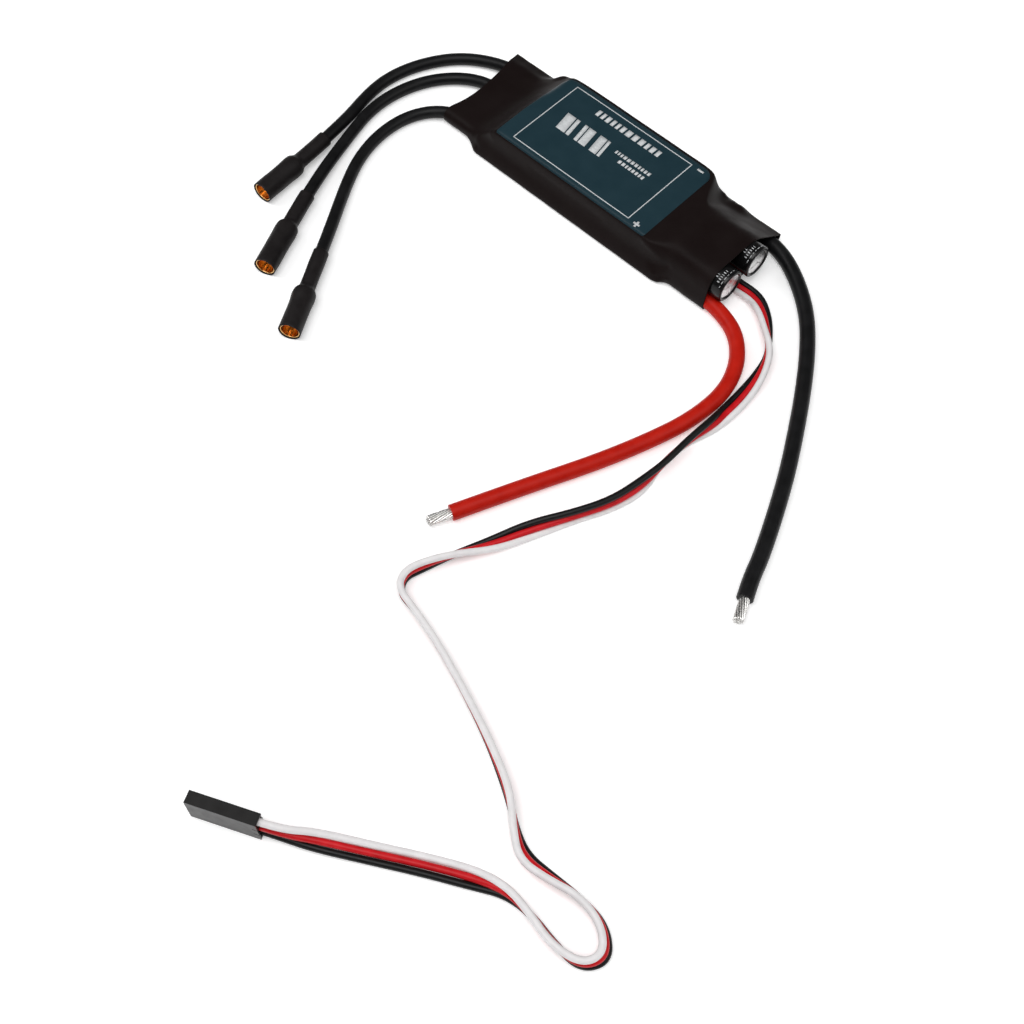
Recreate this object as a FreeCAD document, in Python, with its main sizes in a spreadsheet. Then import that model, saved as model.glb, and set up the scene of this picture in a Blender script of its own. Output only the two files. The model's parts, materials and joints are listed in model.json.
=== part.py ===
import FreeCAD, Part
import math
import os
import Sketcher
from FreeCAD import Placement, Rotation, Vector

# Electronic speed controller, 40 A class, in millimetres.
# +X points to the battery end, +Y to the negative battery wire, +Z to the label.
# The origin is on the surface it lies on, below the middle of the controller's own body.

DOCUMENT = FreeCAD.newDocument("speed_controller")

# Driving dimensions: alias and value.
DIMENSIONS = [
    ("skin_wall", 0.35), ("mouth_arc_radius", 39.5), ("mouth_arc_middle", -80.05),
    ("mouth_arc_side", -1.5), ("label_length", 45.1), ("label_width", 24.6),
    ("label_middle", -1.5), ("label_thick", 0.1), ("label_corner", 1.2), ("label_side", -0.3),
    ("plate_length", 43.6), ("plate_width", 23.6), ("plate_middle", -1.4), ("plate_thick", 2.0),
    ("plate_floor", 7.0), ("plate_corner", 1.0), ("pad_length", 40.0), ("pad_width", 19.0),
    ("pad_thick", 1.5), ("board_length", 57.0), ("board_width", 24.6), ("board_thick", 1.2),
    ("board_floor", 3.3), ("board_corner", 0.8), ("logic_length", 42.0), ("logic_width", 20.0),
    ("logic_thick", 0.8), ("logic_floor", 1.45), ("logic_middle", 4.0), ("fet_length", 6.0),
    ("fet_width", 5.0), ("fet_thick", 1.0), ("fet_step", 12.0), ("fet_row", 5.0),
    ("fet_middle", -4.0), ("chip_side", 5.0), ("chip_thick", 0.8), ("chip_place", 12.0),
    ("driver_length", 3.0), ("driver_width", 3.0), ("driver_thick", 0.75), ("driver_step", 6.0),
    ("driver_middle", -6.0), ("bec_length", 6.5), ("bec_width", 6.1), ("bec_thick", 2.3),
    ("bec_row", 4.2), ("bec_place", 24.4), ("crystal_length", 3.2), ("crystal_width", 1.3),
    ("crystal_thick", 0.8), ("crystal_place", 18.0), ("crystal_side", 4.0), ("bar_length", 20.0),
    ("bar_width", 2.4), ("bar_thick", 0.6), ("bar_row", 10.6), ("bar_place", 11.0),
    ("can_radius", 3.75), ("can_wall", 0.3), ("can_length", 11.5), ("can_end", 42.45),
    ("can_centre", 6.25), ("cap_skin", 0.1), ("cap_lip", 0.7), ("cap_overhang", 0.3),
    ("bung_length", 1.6), ("lead_radius", 0.3), ("lead_pitch", 3.5), ("lead_drop", 28.0),
    ("cap_low", -8.1), ("cap_high", 1.25), ("battery_radius", 1.75), ("battery_core", 1.15),
    ("tip_length", 5.3), ("motor_radius", 1.45), ("servo_radius", 0.72), ("servo_pitch", 1.5),
    ("servo_lay", 0.74), ("socket_outer", 2.3), ("socket_bore", 2.0), ("socket_depth", 9.0),
    ("socket_length", 11.0), ("socket_inset", 0.2), ("joint_skin", 0.25), ("joint_barrel", 11.6),
    ("joint_taper", 1.4), ("joint_length", 22.4), ("joint_lead", 26.6), ("joint_small", 1.8),
    ("plug_length", 14.0), ("plug_height", 7.65), ("plug_thick", 2.54), ("plug_pitch", 2.54),
    ("plug_wall", 0.4), ("plug_yaw", 25.2), ("plug_x", 46.3), ("plug_y", -165.6),
    ("cell_side", 1.8), ("mouth_side", 0.9), ("contact_side", 1.7), ("contact_front", 1.2),
    ("contact_back", 11.0), ("contact_bore", 0.8), ("contact_deep", 7.0), ("window_length", 2.6),
    ("window_from", 4.6), ("window_height", 0.8), ("solder_length", 3.4),
    ("solder_round", 0.4), ("skin_foot", 0.7),
]

# Sections of the shrunk sleeve, from the motor end to the battery end:
# x, low side, low side's height, top from, top to, high side, high side's height, top height.
SECTIONS = [
    ("motor_mouth", -42.75, -13.3, 2.6, -11.4, 12.4, 13.9, 2.4, 3.8),
    ("motor_neck", -34.4, -13.1, 2.6, -11.2, 12.6, 14.5, 2.4, 4.3),
    ("flare", -29.9, -14.6, 2.2, -12.2, 12.6, 14.7, 2.2, 5.2),
    ("shoulder", -25.6, -14.8, 1.8, -12.8, 12.6, 14.8, 1.8, 8.8),
    ("crown_start", -24.2, -14.9, 1.8, -13.0, 12.9, 14.9, 1.8, 9.5),
    ("crown_end", 21.5, -14.9, 1.8, -13.0, 12.9, 14.9, 1.8, 9.5),
    ("step", 27.0, -14.6, 2.6, -12.4, 9.0, 14.8, 2.4, 10.2),
    ("battery_neck", 30.2, -14.0, 5.2, -10.6, 4.4, 14.0, 3.2, 10.5),
    ("battery_mouth", 39.6, -14.0, 5.6, -10.4, 3.6, 13.4, 3.6, 10.5),
]
SECTION_FIELDS = ["low", "low_side", "top_from", "top_to", "high", "high_side", "top"]

# Routes of the free cords. The first point is inside the sleeve, at the solder joint. The motor
# wires go on to their connectors, in line with the mouths below.
BATTERY_ROUTES = {
    "positive": [(30.5, -11.8, 2.1), (37.0, -11.9, 2.1), (43.5, -12.0, 1.75), (50.0, -14.2, 1.75),
                 (55.2, -19.8, 1.75), (57.9, -27.4, 1.75), (57.7, -35.6, 1.75),
                 (55.9, -43.8, 1.75), (50.7, -58.2, 1.75), (43.4, -73.9, 1.75),
                 (36.8, -89.0, 1.75)],
    "negative": [(30.5, 11.2, 2.1), (37.2, 11.3, 2.1), (44.0, 10.2, 1.75), (51.4, 6.0, 1.75),
                 (58.2, 0.4, 1.75), (64.3, -7.2, 1.75), (70.0, -16.0, 1.75),
                 (75.2, -25.0, 1.75), (80.2, -34.2, 1.75), (84.6, -43.6, 1.75),
                 (88.7, -53.2, 1.75), (90.5, -58.8, 1.75), (92.4, -62.9, 1.75)],
}
MOTOR_ROUTES = {
    "a": [(-30.5, 9.5, 2.4), (-37.5, 9.9, 2.3), (-45.2, 8.8, 1.6), (-52.6, 4.2, 1.45),
          (-57.5, -2.8, 1.45), (-60.2, -10.4, 1.45), (-60.6, -18.4, 1.45)],
    "b": [(-30.5, 2.0, 2.4), (-37.5, 2.5, 2.3), (-45.4, 1.2, 1.6), (-52.0, -5.0, 1.45),
          (-55.6, -13.6, 1.45), (-56.2, -22.8, 1.45), (-53.8, -32.2, 1.45)],
    "c": [(-30.5, -9.4, 2.4), (-37.3, -9.6, 2.3), (-44.2, -12.2, 1.6), (-48.2, -18.8, 1.45),
          (-48.8, -27.2, 1.45), (-46.9, -35.6, 1.45), (-42.9, -43.6, 1.45)],
}
# Mouth of each motor connector: x, y and the direction it points in, in degrees.
MOTOR_MOUTHS = {"a": (-54.4, -59.2, -85.5), "b": (-37.6, -73.3, -66.9), "c": (-20.3, -81.5, -60.4)}

# Middle wire of the servo ribbon: x, y, lift above the surface, and the roll of the ribbon in
# degrees (0 flat with white to the left of the way it runs, 90 on edge with white on top).
RIBBON = [
    (25.4, -3.4, 0.95, 180), (33.0, -3.2, 0.6, 180), (40.4, -3.5, 0.3, 174), (46.4, -2.9, 0, 170),
    (51.0, -5.7, 0, 144), (54.8, -9.4, 0, 121), (58.6, -13.5, 0, 83), (60.5, -18.7, 0, 49),
    (61.4, -24.4, 0, 22), (61.6, -30.2, 0, 15), (61.7, -36.2, 0, -65), (60.4, -42.8, 0, -105),
    (60.3, -50.4, 0, -116), (60.8, -57.6, 0, -64), (59.3, -64.9, 0, -76), (55.7, -72.3, 0, -83),
    (51.2, -80.6, 0, -38), (47.7, -88.5, 0, 20), (44.0, -95.5, 0, 65), (41.3, -101.8, 0, 92),
    (40.2, -105.6, 0, 86), (42.0, -108.7, 0, 94), (46.9, -109.4, 0, 104), (55.3, -111.4, 0, 99),
    (65.7, -114.8, 0, 98), (76.1, -118.7, 0, 92), (86.4, -123.6, 0, 81), (92.2, -128.2, 0, 105),
    (96.7, -130.6, 0, 135), (102.5, -130.0, 0, 123), (109.0, -128.9, 0, 99),
    (115.2, -129.7, 0, 113), (119.3, -133.4, 0, 118), (117.2, -137.7, 0, 96),
    (111.0, -138.3, 0, 70), (104.4, -137.1, 0, 78), (98.6, -137.1, 0, 104),
    (92.6, -139.3, 0, 164), (84.4, -143.7, 0, 174), (75.8, -149.1, 0, 148),
    (67.4, -154.4, 0.6, 133),
]
SERVO_COLOURS = {"black": -1, "red": 0, "white": 1}

# Small parts of the two boards: their sizes, and their places along and across the boards.
RESISTOR_SIZE = (1.0, 0.5, 0.4)
RESISTOR_COLUMNS = (6.0, 8.0, 10.0, 12.0)
RESISTOR_ROWS = (-5.0, -3.6, 3.0, 4.4)
CERAMIC_SIZE = (2.0, 1.25, 1.0)
CERAMIC_COLUMNS = (-24.6, 15.5)
CERAMIC_ROWS = (-7.0, -2.4, 1.2, 5.8)
PIN_SIDE = 0.6
PIN_COLUMNS = (-14.0, -11.5, -9.0, -6.5, -4.0)
PIN_ROWS = (-8.0, 8.0)

CORNER_INSET = 0.6          # how far an inset moves the roof's corners, as a part of it
RIBBON_SPLIT = 1.5          # how far the ribbon's wires part before the plug, in pitches
ENTRY_RUN = 4.0             # straight stretch of each servo wire behind the plug
ARC_SHARE = 0.45            # part of the shorter run that a cord's arc takes up
CELL_COUNT = 3              # cells in the servo plug
MOTOR_PHASES = ["a", "b", "c"]
SLEEVE_HANG = 1.0           # how far the sleeve's cutting tools run past its ends


def make_sheet():
    sheet = DOCUMENT.addObject("Spreadsheet::Sheet", "Sizes")
    for row, (alias, value) in enumerate(DIMENSIONS, start=1):
        sheet.set("A%d" % row, alias)
        sheet.set("B%d" % row, str(value))
        sheet.setAlias("B%d" % row, alias)
    row = len(DIMENSIONS)
    for name, place, *values in SECTIONS:
        for field, value in zip(["place"] + SECTION_FIELDS, [place] + values):
            row += 1
            alias = "%s_%s" % (name, field)
            sheet.set("A%d" % row, alias)
            sheet.set("B%d" % row, str(value))
            sheet.setAlias("B%d" % row, alias)
    DOCUMENT.recompute()
    return sheet


SHEET = make_sheet()
NODES = []


def size(alias):
    return float(getattr(SHEET, alias))


def bind(item, **expressions):
    for name, expression in expressions.items():
        item.setExpression(name, expression)


def node(item, label):
    item.Label = label
    NODES.append(item)
    return item


def cell(alias):
    return "Sizes." + alias


# ---------------------------------------------------------------- simple solids

def box(label, length, width, height, position, keep=True):
    """A block bound to the sheet, centred on X and Y at its position."""
    item = DOCUMENT.addObject("Part::Box", label)
    bind(item, Length=length, Width=width, Height=height)
    DOCUMENT.recompute()
    corner = Vector(-item.Length.Value / 2, -item.Width.Value / 2, 0)
    item.Placement = Placement(Vector(*position) + corner, Rotation())
    return node(item, label) if keep else item


def cylinder(label, radius, height, placement, keep=True):
    item = DOCUMENT.addObject("Part::Cylinder", label)
    bind(item, Radius=radius, Height=height)
    item.Placement = placement
    return node(item, label) if keep else item


def cut(label, base, tool):
    item = DOCUMENT.addObject("Part::Cut", label)
    item.Base = base
    item.Tool = tool
    return item


def feature(label, shape, placement=None, keep=True):
    item = DOCUMENT.addObject("Part::Feature", label)
    item.Shape = shape
    item.Placement = placement or Placement()
    return node(item, label) if keep else item


def start_body(label):
    return DOCUMENT.addObject("PartDesign::Body", label)


def start_sketch(body, name, role="XY_Plane", offset=0.0):
    sketch = body.newObject("Sketcher::SketchObject", name)
    plane = next(item for item in body.Origin.OriginFeatures if item.Role == role)
    sketch.AttachmentSupport = [(plane, "")]
    sketch.MapMode = "FlatFace"
    sketch.AttachmentOffset = Placement(Vector(0, 0, offset), Rotation())
    return sketch


def add_rectangle(sketch, width, height, middle=(0.0, 0.0)):
    """A rectangle on a sketch: width and height are expressions, its middle is in millimetres."""
    first = sketch.GeometryCount
    corners = [(-1, -1), (1, -1), (1, 1), (-1, 1)]
    points = [Vector(middle[0] + x, middle[1] + y, 0) for x, y in corners]
    for index in range(4):
        sketch.addGeometry(Part.LineSegment(points[index], points[(index + 1) % 4]))
    for index in range(4):
        after = first + (index + 1) % 4
        sketch.addConstraint(Sketcher.Constraint("Coincident", first + index, 2, after, 1))
    for index, kind in enumerate(["Horizontal", "Vertical", "Horizontal", "Vertical"]):
        sketch.addConstraint(Sketcher.Constraint(kind, first + index))
    spans = [("DistanceX", 0, width), ("DistanceY", 1, height)]
    for kind, edge, expression in spans:
        number = sketch.addConstraint(
            Sketcher.Constraint(kind, first + edge, 1, first + edge, 2, 2.0))
        sketch.setExpression("Constraints[%d]" % number, expression)
    places = [("DistanceX", width, middle[0]), ("DistanceY", height, middle[1])]
    for kind, expression, centre in places:
        number = sketch.addConstraint(
            Sketcher.Constraint(kind, -1, 1, first + 1, 2, 1.0))
        sketch.setExpression("Constraints[%d]" % number, "%s / 2 + %s" % (expression, centre))
    return sketch


def pad(body, sketch, length, reverse=False):
    item = body.newObject("PartDesign::Pad", "Pad")
    item.Profile = sketch
    item.Reversed = reverse
    item.setExpression("Length", length)
    DOCUMENT.recompute()
    return item


def pocket(body, sketch, length, reverse=False):
    before = body.Shape.Volume
    item = body.newObject("PartDesign::Pocket", "Pocket")
    item.Profile = sketch
    item.Reversed = reverse
    item.setExpression("Length", length)
    DOCUMENT.recompute()
    assert body.Shape.Volume < before - 1e-6, "%s: a pocket cut nothing" % body.Label
    return item


def rounded_plate(label, length, width, thick, corner, floor, middle=(0.0, 0.0)):
    """A flat plate with rounded corners: a padded sketch and one fillet on its upright edges."""
    body = start_body(label)
    sketch = start_sketch(body, "outline")
    add_rectangle(sketch, length, width)
    base = pad(body, sketch, thick)
    upright = ["Edge%d" % number for number, edge in enumerate(base.Shape.Edges, start=1)
               if abs(edge.tangentAt(edge.FirstParameter).z) > 0.9]
    rounding = body.newObject("PartDesign::Fillet", "corners")
    rounding.Base = (base, upright)
    rounding.setExpression("Radius", corner)
    DOCUMENT.recompute()
    body.Placement = Placement(Vector(*middle, floor), Rotation())
    return node(body, label)


def revolved(label, outline, placement):
    """A turned piece: outline holds (distance along the axis, radius) pairs."""
    body = start_body(label)
    sketch = start_sketch(body, "profile", "XZ_Plane")
    count = len(outline)
    points = [Vector(place, radius, 0) for place, radius in outline]
    for index in range(count):
        sketch.addGeometry(Part.LineSegment(points[index], points[(index + 1) % count]))
    for index in range(count):
        after = (index + 1) % count
        sketch.addConstraint(Sketcher.Constraint("Coincident", index, 2, after, 1))
    for index, point in enumerate(points):
        sketch.addConstraint(Sketcher.Constraint("DistanceX", -1, 1, index, 1, point.x))
        sketch.addConstraint(Sketcher.Constraint("DistanceY", -1, 1, index, 1, point.y))
    turn = body.newObject("PartDesign::Revolution", "turn")
    turn.Profile = sketch
    turn.ReferenceAxis = (sketch, ["H_Axis"])
    turn.Angle = 360
    DOCUMENT.recompute()
    body.Placement = placement
    return node(body, label)


# ---------------------------------------------------------------- cords

def cord_wire(route):
    """Straight runs joined by tangent arcs, each as large as its two runs allow."""
    points = [Vector(*point) for point in route]
    edges = []
    radii = []
    start = points[0]
    for before, corner, after in zip(points, points[1:], points[2:]):
        back = (before - corner).normalize()
        ahead = (after - corner).normalize()
        half_turn = (math.pi - back.getAngle(ahead)) / 2
        reach = ARC_SHARE * min((before - corner).Length, (after - corner).Length)
        radius = reach / math.tan(half_turn)
        radii.append(radius)
        first = corner + back * reach
        last = corner + ahead * reach
        bisector = (back + ahead).normalize()
        middle = corner + bisector * (radius / math.cos(half_turn) - radius)
        edges.append(Part.LineSegment(start, first).toShape())
        edges.append(Part.Arc(first, middle, last).toShape())
        start = last
    edges.append(Part.LineSegment(start, points[-1]).toShape())
    return Part.Wire(edges), radii


def cord(label, route, radius):
    """A tube along a cord's route; prints its length and its tightest bend."""
    path, radii = cord_wire(route)
    away = Vector(*route[1]) - Vector(*route[0])
    ring = Part.Wire([Part.Circle(Vector(*route[0]), away, radius).toShape()])
    tube = path.makePipeShell([ring], True, False)
    ideal = math.pi * radius ** 2 * path.Length
    print("%s: length %.1f, radii %s, volume ratio %.4f" % (
        label, path.Length, " ".join("%.1f" % bend for bend in radii), tube.Volume / ideal))
    assert abs(tube.Volume / ideal - 1) < 0.01, label
    return feature(label, tube)


def along(position, direction):
    """Placement whose Z axis points along a direction."""
    return Placement(Vector(*position), Rotation(Vector(0, 0, 1), Vector(*direction)))


# ---------------------------------------------------------------- sleeve, label and plate

def skin_outline(name, inset, place):
    values = {field: size("%s_%s" % (name, field)) for field in SECTION_FIELDS}
    low = values["low"] + inset
    high = values["high"] - inset
    roof = values["top"] - inset
    top_from = values["top_from"] + CORNER_INSET * inset
    top_to = values["top_to"] - CORNER_INSET * inset
    foot = size("skin_foot")
    corners = [(low + foot, inset), (high - foot, inset), (high, foot + inset),
               (high, values["high_side"]), (top_to, roof), (top_from, roof),
               (low, values["low_side"]), (low, foot + inset)]
    outline = DOCUMENT.addObject("Part::Polygon", "outline")
    outline.Nodes = [Vector(place, y, z) for y, z in corners]
    outline.Close = True
    return outline


def skin_loft(label, inset, hang):
    """The sleeve's outer form, or its inside when inset is the wall."""
    outlines = []
    for index, (name, *_) in enumerate(SECTIONS):
        place = size("%s_place" % name)
        if index == 0:
            place -= hang
        if index == len(SECTIONS) - 1:
            place += hang
        outlines.append(skin_outline(name, inset, place))
    DOCUMENT.recompute()
    loft = DOCUMENT.addObject("Part::Loft", label)
    loft.Sections = outlines
    loft.Solid = True
    loft.Ruled = True
    return loft


def make_sleeve():
    outer = skin_loft("skin_outside", 0.0, 0.0)
    inner = skin_loft("skin_inside", size("skin_wall"), SLEEVE_HANG)
    hollow = cut("skin_hollow", outer, inner)
    middle = Vector(size("mouth_arc_middle"), size("mouth_arc_side"), -SLEEVE_HANG)
    scoop = cylinder("mouth_scoop", cell("mouth_arc_radius"), "2 * Sizes.crown_start_top",
                     Placement(middle, Rotation()), keep=False)
    node(cut("heat_shrink_sleeve", hollow, scoop), "heat_shrink_sleeve")


def make_top_stack():
    rounded_plate("label", cell("label_length"), cell("label_width"), cell("label_thick"),
                  cell("label_corner"), size("crown_start_top"),
                  (size("label_middle"), size("label_side")))
    rounded_plate("heatsink_plate", cell("plate_length"), cell("plate_width"),
                  cell("plate_thick"), cell("plate_corner"), size("plate_floor"),
                  (size("plate_middle"), 0.0))
    pad_floor = size("plate_floor") - size("pad_thick")
    box("thermal_pad", cell("pad_length"), cell("pad_width"), cell("pad_thick"),
        (size("plate_middle"), 0, pad_floor))


# ---------------------------------------------------------------- boards and their parts

def make_boards():
    rounded_plate("power_board", cell("board_length"), cell("board_width"), cell("board_thick"),
                  cell("board_corner"), size("board_floor"))
    rounded_plate("control_board", cell("logic_length"), cell("logic_width"),
                  cell("logic_thick"), cell("board_corner"), size("logic_floor"),
                  (size("logic_middle"), 0.0))


def make_power_parts():
    deck = size("board_floor") + size("board_thick")
    for step, phase in enumerate(MOTOR_PHASES):
        place = (step - 1) * size("fet_step") + size("fet_middle")
        for side, row in (("high", 1), ("low", -1)):
            box("mosfet_%s_%s" % (side, phase), cell("fet_length"), cell("fet_width"),
                cell("fet_thick"), (place, row * size("fet_row"), deck))
    for name, row in (("positive", -1), ("negative", 1)):
        box("bus_bar_" + name, cell("bar_length"), cell("bar_width"), cell("bar_thick"),
            (size("bar_place"), row * size("bar_row"), deck))
    for number, row in ((1, -1), (2, 1)):
        box("bec_regulator_%d" % number, cell("bec_length"), cell("bec_width"),
            cell("bec_thick"), (size("bec_place"), row * size("bec_row"), deck))


def make_control_parts():
    under = size("logic_floor")
    over = under + size("logic_thick")
    box("microcontroller", cell("chip_side"), cell("chip_side"), cell("chip_thick"),
        (size("chip_place"), 0, under - size("chip_thick")))
    box("resonator", cell("crystal_length"), cell("crystal_width"), cell("crystal_thick"),
        (size("crystal_place"), size("crystal_side"), under - size("crystal_thick")))
    for step, phase in enumerate(MOTOR_PHASES):
        box("gate_driver_" + phase, cell("driver_length"), cell("driver_width"),
            cell("driver_thick"),
            ((step - 1) * size("driver_step") + size("driver_middle"), 0, over))
    resistors = [Part.makeBox(*RESISTOR_SIZE, Vector(x, y, over))
                 for x in RESISTOR_COLUMNS for y in RESISTOR_ROWS]
    feature("chip_resistors", Part.makeCompound(resistors))
    deck = size("board_floor") + size("board_thick")
    ceramics = [Part.makeBox(*CERAMIC_SIZE, Vector(x, y, deck))
                for x in CERAMIC_COLUMNS for y in CERAMIC_ROWS]
    feature("ceramic_capacitors", Part.makeCompound(ceramics))
    rise = size("board_floor") - over
    pins = [Part.makeBox(PIN_SIDE, PIN_SIDE, rise, Vector(x, row - PIN_SIDE / 2, over))
            for x in PIN_COLUMNS for row in PIN_ROWS]
    feature("board_header_pins", Part.makeCompound(pins))


# ---------------------------------------------------------------- electrolytic capacitors

def make_capacitor(number, row):
    centre = Placement(Vector(size("can_end"), row, size("can_centre")), Rotation(180, 0, 0))
    outer = size("can_radius")
    wall = size("can_wall")
    length = size("can_length")
    bung = size("bung_length")
    revolved("capacitor_can_%d" % number,
             [(0, 0), (0, outer - wall), (wall, outer), (length, outer), (length, outer - wall),
              (1.4 * wall, outer - wall), (1.4 * wall, 0)], centre)
    revolved("capacitor_winding_%d" % number,
             [(1.4 * wall, 0), (1.4 * wall, outer - 1.5 * wall),
              (length - bung - wall, outer - 1.5 * wall), (length - bung - wall, 0)], centre)
    revolved("capacitor_bung_%d" % number,
             [(length - bung, 0), (length - bung, outer - wall), (length, outer - wall),
              (length, 0)], centre)
    skin = size("cap_skin")
    lip = size("cap_overhang")
    revolved("capacitor_sleeve_%d" % number,
             [(-lip, outer - size("cap_lip")), (-lip, outer), (0, outer + skin),
              (length, outer + skin), (length, outer), (wall, outer), (0, outer - wall),
              (0, outer - size("cap_lip"))], centre)
    back = size("can_end") - length
    deck = size("board_floor") + size("board_thick")
    leads = []
    for side in (-0.5, 0.5):
        lane = row + side * size("lead_pitch")
        path, _ = cord_wire([(back, lane, size("can_centre")),
                             (size("lead_drop"), lane, size("can_centre")),
                             (size("lead_drop"), lane, deck)])
        ring = Part.Wire([Part.Circle(Vector(back, lane, size("can_centre")), Vector(-1, 0, 0),
                                      size("lead_radius")).toShape()])
        leads.append(path.makePipeShell([ring], True, False))
    feature("capacitor_leads_%d" % number, Part.makeCompound(leads))


# ---------------------------------------------------------------- wires and what is on them

def solder(label, position, radius):
    """A solder joint round a wire's bare end, below the power board."""
    height = size("board_floor") - position[2] + radius
    shape = Part.makeBox(size("solder_length"), 2 * radius, height,
                         Vector(position[0], position[1] - radius, position[2] - radius))
    upright = [edge for edge in shape.Edges
               if abs(edge.tangentAt(edge.FirstParameter).z) > 0.9]
    feature(label, shape.makeFillet(size("solder_round"), upright))


def make_battery_wires():
    for pole, route in BATTERY_ROUTES.items():
        cord("battery_wire_" + pole, route, size("battery_radius"))
        end = Vector(*route[-1])
        direction = (end - Vector(*route[-2])).normalize()
        cylinder("battery_tip_" + pole, cell("battery_core"), cell("tip_length"),
                 along(end, direction))
        start = route[0]
        solder("solder_joint_" + pole, (start[0] - size("solder_length"), start[1], start[2]),
               size("battery_core"))


def make_motor_wires():
    for phase in MOTOR_PHASES:
        mouth_x, mouth_y, yaw = MOTOR_MOUTHS[phase]
        outward = Vector(math.cos(math.radians(yaw)), math.sin(math.radians(yaw)), 0)
        height = size("socket_outer") + size("joint_skin")
        mouth = Vector(mouth_x, mouth_y, height)
        back = mouth - outward * (size("socket_length") + size("socket_inset"))
        lead = mouth - outward * size("joint_lead")
        route = MOTOR_ROUTES[phase] + [tuple(lead), tuple(back)]
        cord("motor_wire_" + phase, route, size("motor_radius"))
        inward = Placement(mouth, Rotation(yaw + 180, 0, 0))
        make_socket(phase, inward)
        make_joint_sleeve(phase, inward)
        start = route[0]
        solder("solder_joint_motor_" + phase, (start[0], start[1], start[2]), 0.9)


def make_socket(phase, placement):
    """Female bullet connector: a bored barrel with a solder-filled cup behind the bore."""
    inset = size("socket_inset")
    outer = size("socket_outer")
    bore = size("socket_bore")
    depth = inset + size("socket_depth")
    end = inset + size("socket_length")
    revolved("bullet_socket_" + phase,
             [(inset, bore), (inset, outer), (end, outer), (end, 0), (depth, 0), (depth, bore)],
             placement)


def make_joint_sleeve(phase, placement):
    """Heat shrink over the connector: a barrel, a taper and a stretch gripping the wire."""
    outer = size("socket_outer")
    skin = size("joint_skin")
    barrel = size("joint_barrel")
    taper = barrel + size("joint_taper")
    end = size("joint_length")
    wire = size("motor_radius")
    revolved("connector_sleeve_" + phase,
             [(0, outer), (0, outer + skin), (barrel, outer + skin), (taper, size("joint_small")),
              (end, size("joint_small")), (end, wire), (taper - skin, wire),
              (barrel - skin, outer)], placement)


def ribbon_lane(side):
    """Route of one wire of the servo ribbon, from the ribbon's middle line and roll."""
    lane = []
    last = len(RIBBON) - 1
    pitch = size("servo_pitch")
    for index, (x, y, lift, roll) in enumerate(RIBBON):
        before = RIBBON[max(index - 1, 0)]
        after = RIBBON[min(index + 1, last)]
        heading = Vector(after[0] - before[0], after[1] - before[1], 0).normalize()
        left = Vector(-heading.y, heading.x, 0)
        spread = pitch if index < last else RIBBON_SPLIT * pitch
        angle = math.radians(roll)
        rise = spread * abs(math.sin(angle)) + size("servo_lay") + lift
        middle = Vector(x, y, rise)
        shift = left * math.cos(angle) + Vector(0, 0, 1) * math.sin(angle)
        lane.append(tuple(middle + shift * (side * spread)))
    return lane


def plug_frame():
    return Placement(Vector(size("plug_x"), size("plug_y"), 0),
                     Rotation(size("plug_yaw"), 0, 0))


def cell_height(side):
    return size("plug_height") / 2 + side * size("plug_pitch")


def make_servo_wires():
    for colour, side in SERVO_COLOURS.items():
        frame = plug_frame()
        entry = frame.multVec(Vector(size("plug_length") + ENTRY_RUN, 0, cell_height(side)))
        contact = frame.multVec(Vector(size("contact_back"), 0, cell_height(side)))
        route = ribbon_lane(side) + [tuple(entry), tuple(contact)]
        cord("servo_wire_" + colour, route, size("servo_radius"))
        make_contact(colour, side)


def make_contact(colour, side):
    """Crimped female contact: a square box with a bore for the pin."""
    length = size("contact_back") - size("contact_front")
    side_length = size("contact_side")
    bore = size("contact_bore")
    shell = Part.makeBox(length, side_length, side_length,
                         Vector(0, -side_length / 2, -side_length / 2))
    hole = Part.makeBox(size("contact_deep"), bore, bore, Vector(0, -bore / 2, -bore / 2))
    frame = plug_frame()
    spot = frame.multVec(Vector(size("contact_front"), 0, cell_height(side)))
    feature("servo_contact_" + colour, shell.cut(hole), Placement(spot, frame.Rotation))


def make_plug_housing():
    """Three-cell servo plug standing on its narrow edge: cells, pin mouths, latch windows."""
    body = start_body("servo_plug_housing")
    outline = start_sketch(body, "outline", "YZ_Plane")
    add_rectangle(outline, cell("plug_thick"), cell("plug_height"),
                  (0.0, size("plug_height") / 2))
    pad(body, outline, cell("plug_length"))
    for index in range(CELL_COUNT):
        height = cell_height(index - 1)
        room = start_sketch(body, "cell", "YZ_Plane", size("contact_front"))
        add_rectangle(room, cell("cell_side"), cell("cell_side"), (0.0, height))
        pocket(body, room, "Sizes.plug_length - Sizes.contact_front", reverse=True)
        mouth = start_sketch(body, "pin_mouth", "YZ_Plane")
        add_rectangle(mouth, cell("mouth_side"), cell("mouth_side"), (0.0, height))
        pocket(body, mouth, cell("contact_front"), reverse=True)
        window = start_sketch(body, "latch_window", "XZ_Plane", -size("plug_thick") / 2)
        middle = size("window_from") + size("window_length") / 2
        add_rectangle(window, cell("window_length"), cell("window_height"), (middle, height))
        pocket(body, window, "Sizes.plug_wall", reverse=True)
    body.Placement = plug_frame()
    node(body, "servo_plug_housing")


def check_and_write():
    DOCUMENT.recompute()
    for item in DOCUMENT.Objects:
        assert not {"Invalid", "Error"} & set(item.State), "%s: %s" % (item.Label, item.State)
    os.makedirs("parts", exist_ok=True)
    for item in NODES:
        shape = item.Shape
        assert not shape.isNull() and shape.isValid(), item.Label
        shape.exportStep("parts/%s.step" % item.Label)
    print("%d nodes" % len(NODES))


make_sleeve()
make_top_stack()
make_boards()
make_power_parts()
make_control_parts()
make_capacitor(1, size("cap_low"))
make_capacitor(2, size("cap_high"))
make_battery_wires()
make_motor_wires()
make_plug_housing()
make_servo_wires()
check_and_write()
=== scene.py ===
import json
import math
import random

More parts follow.
